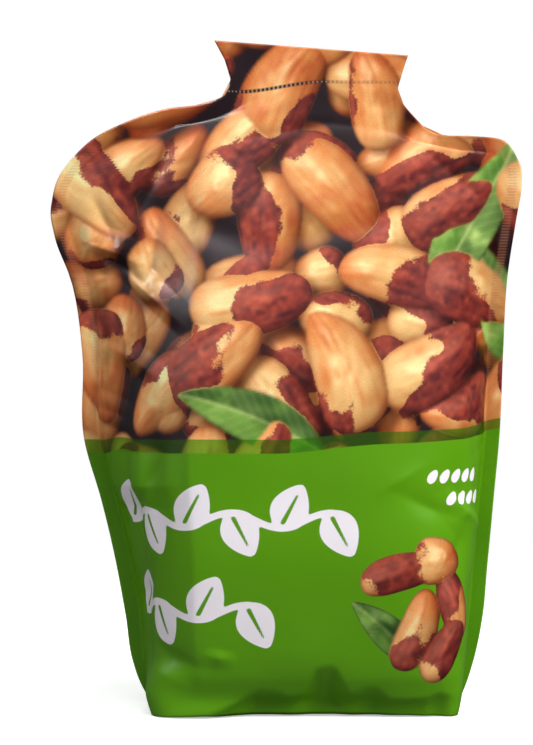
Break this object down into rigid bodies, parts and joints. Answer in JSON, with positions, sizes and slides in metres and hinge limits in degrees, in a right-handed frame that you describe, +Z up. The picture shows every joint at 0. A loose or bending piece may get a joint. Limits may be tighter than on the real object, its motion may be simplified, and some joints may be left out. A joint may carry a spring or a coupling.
{
  "type": "stand-up pouch",
  "caption": "Filled, heat-sealed stand-up pouch with a flat bottom gusset, ribbed side seals, rounded shoulders and a narrow sealed header, standing upright.",
  "frame": {"origin": "on the floor, under the middle of the pouch's overall outline", "axes": "+Z up along the pouch's height, -Y towards the printed front, X across its width"},
  "size_m": [0.2036, 0.0928, 0.2873],
  "materials": {
    "printed_film": "satin printed laminate film, bright green below a dark nut-coloured print",
    "plain_film": "satin green laminate film",
    "kernels": "matte tan and brown nut kernels"
  },
  "bodies": {
    "root": {"front_panel": "printed_film", "back_panel": "printed_film", "bottom_gusset": "plain_film", "nuts": "kernels"}
  },
  "joints": []
}
